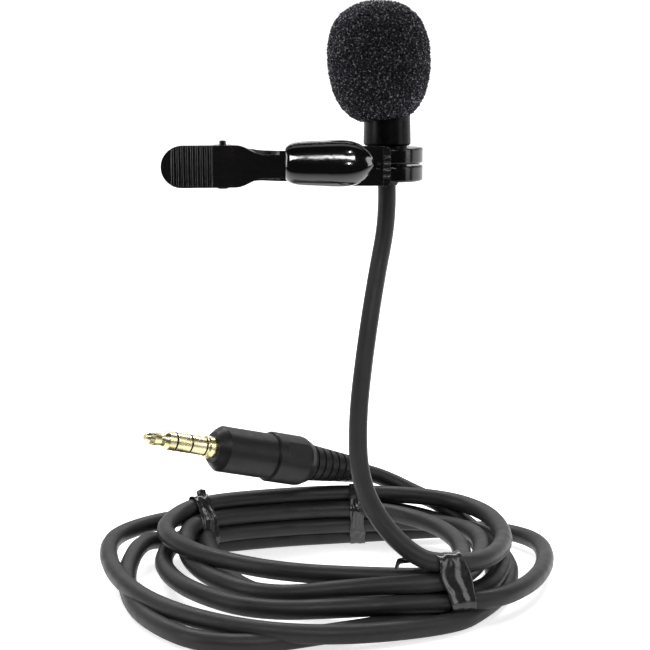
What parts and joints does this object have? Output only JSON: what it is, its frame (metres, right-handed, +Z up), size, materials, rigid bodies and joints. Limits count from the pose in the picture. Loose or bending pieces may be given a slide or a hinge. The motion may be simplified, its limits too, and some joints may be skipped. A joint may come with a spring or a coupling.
{
  "type": "lavalier microphone",
  "caption": "Clip-on lavalier microphone with a slip-on foam windscreen, a sprung steel clip with a swivelling ring, and a coiled cord ending in a four-contact 3.5 mm plug",
  "frame": {"origin": "middle of the clip's closed jaws, on the gripping face of the outer jaw", "axes": "+X runs along the clip from its levers to the microphone, +Y points away from the gripped cloth through the outer jaw, +Z is up along the microphone"},
  "size_m": [0.0824, 0.066, 0.1016],
  "materials": {
    "foam": "open-cell polyurethane foam, matt",
    "head_black": "satin black paint",
    "grille_black": "black perforated sheet",
    "capsule_can": "bare can",
    "rubber_black": "soft matt rubber",
    "board_green": "solder-masked board",
    "wire_sleeve": "insulated hook-up wire",
    "ring_black": "semi-gloss black enamel",
    "clip_steel": "black-nickel plated, polished",
    "cap_black": "high gloss",
    "pin_steel": "dark plated steel",
    "spring_steel": "oil-tempered wire",
    "gold": "gold plated, polished",
    "insulator_black": "moulded, smooth",
    "plug_black": "satin moulded PVC",
    "cord_black": "satin PVC jacket",
    "tie_black": "crinkled twist-tie film"
  },
  "bodies": {
    "mic": {"mic_body": "head_black", "mic_grille": "grille_black", "capsule": "capsule_can", "capsule_boot": "rubber_black", "capsule_board": "board_green", "capsule_wires": "wire_sleeve", "cord_grommet": "rubber_black", "cord_drop": "cord_black", "cord_coil": "cord_black", "cord_lead": "cord_black", "plug_tip": "gold", "plug_insulator": "insulator_black", "plug_ring_1": "gold", "plug_ring_2": "gold", "plug_sleeve": "gold", "plug_inner_mould": "insulator_black", "plug_shell": "plug_black", "plug_grip": "plug_black", "plug_boot": "plug_black", "tie_front": "tie_black", "tie_left": "tie_black", "tie_back": "tie_black"},
    "clip": {"ring_holder": "ring_black", "holder_rivet": "pin_steel", "outer_jaw": "clip_steel", "pivot_pin": "pin_steel", "jaw_spring": "spring_steel"},
    "jaw": {"inner_jaw": "clip_steel", "jaw_cap": "cap_black"},
    "windscreen": {"windscreen": "foam"}
  },
  "joints": [
    {"name": "clip_turn", "type": "hinge", "parent": "mic", "child": "clip", "pos_m": [0.01, 0.0068, 0], "axis": [0, 0, 1], "range_deg": [-180, 180]},
    {"name": "jaw_open", "type": "hinge", "parent": "clip", "child": "jaw", "pos_m": [-0.0184, 0.0015, 0], "axis": [0, 0, -1], "range_deg": [0, 26], "stiffness_Nm_per_rad": 0.04, "springref_deg": -57.3, "deforming": ["jaw_spring"]},
    {"name": "windscreen_pull", "type": "slide", "parent": "mic", "child": "windscreen", "axis": [0, 0, 1], "range_m": [0, 0.014]}
  ]
}
